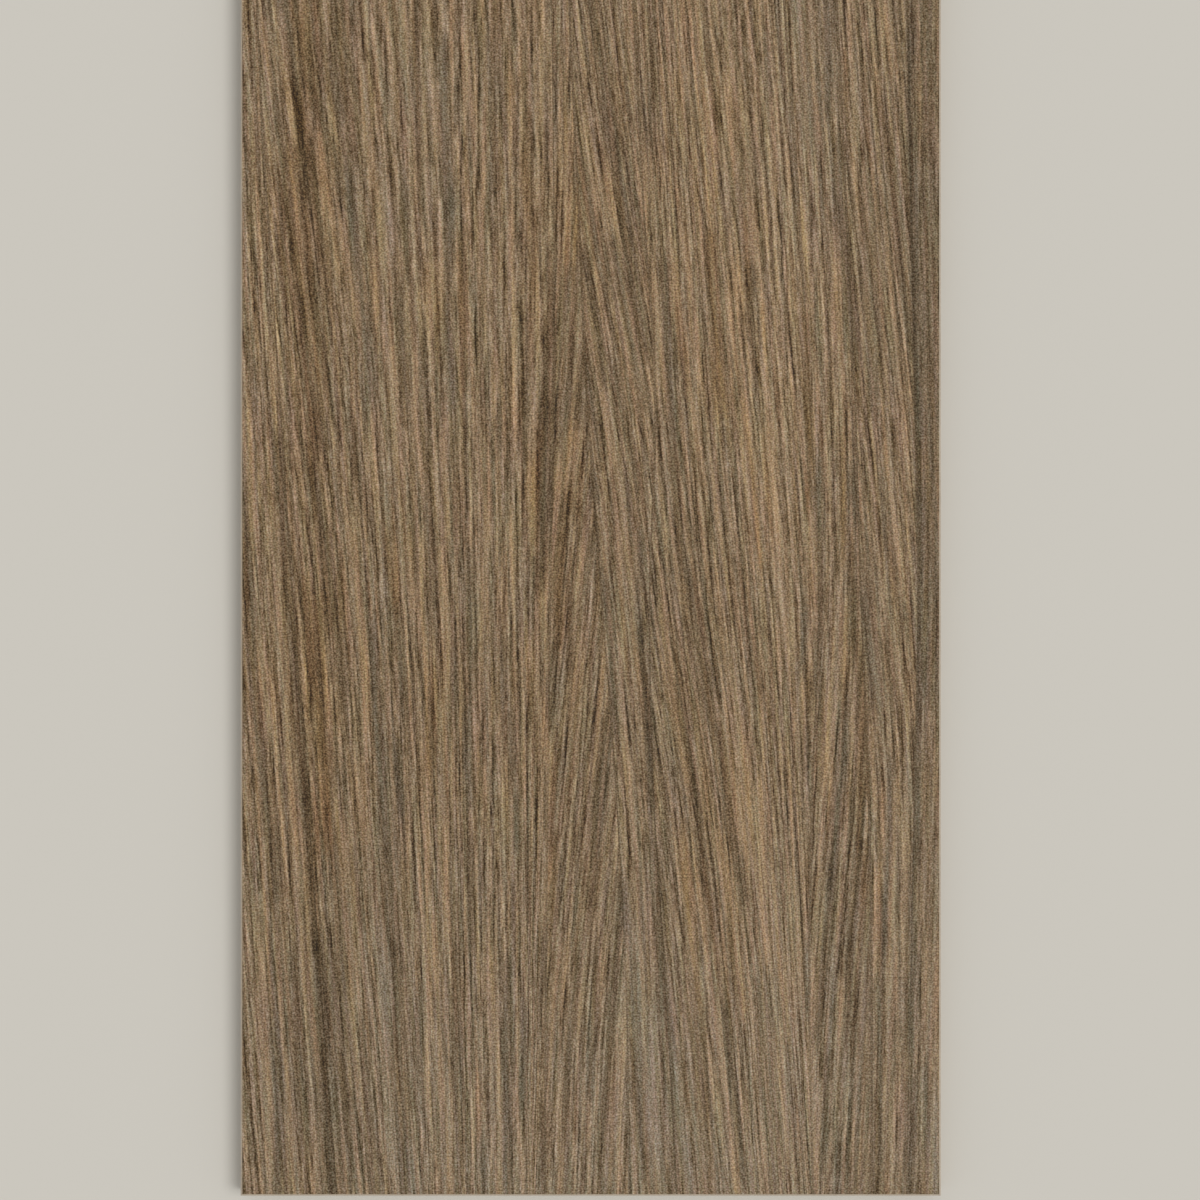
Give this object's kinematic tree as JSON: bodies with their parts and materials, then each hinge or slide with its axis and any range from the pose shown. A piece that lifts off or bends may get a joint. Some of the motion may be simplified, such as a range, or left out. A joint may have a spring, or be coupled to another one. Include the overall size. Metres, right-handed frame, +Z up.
{
  "type": "wood look porcelain plank tile",
  "caption": "Long rectangular porcelain plank with a matt printed wood grain face, a fine arris round the face and a ribbed adhesive key on the back; laid as floor or wall covering.",
  "frame": {"origin": "middle of the back, on the plane of the rib crowns that the tile lies on", "axes": "+Z up out of the wear face, +Y along the plank and its grain, +X across it"},
  "size_m": [0.2, 1.2, 0.009],
  "materials": {
    "printed_porcelain": "matte"
  },
  "bodies": {
    "root": {"plank_tile": "printed_porcelain"}
  },
  "joints": []
}
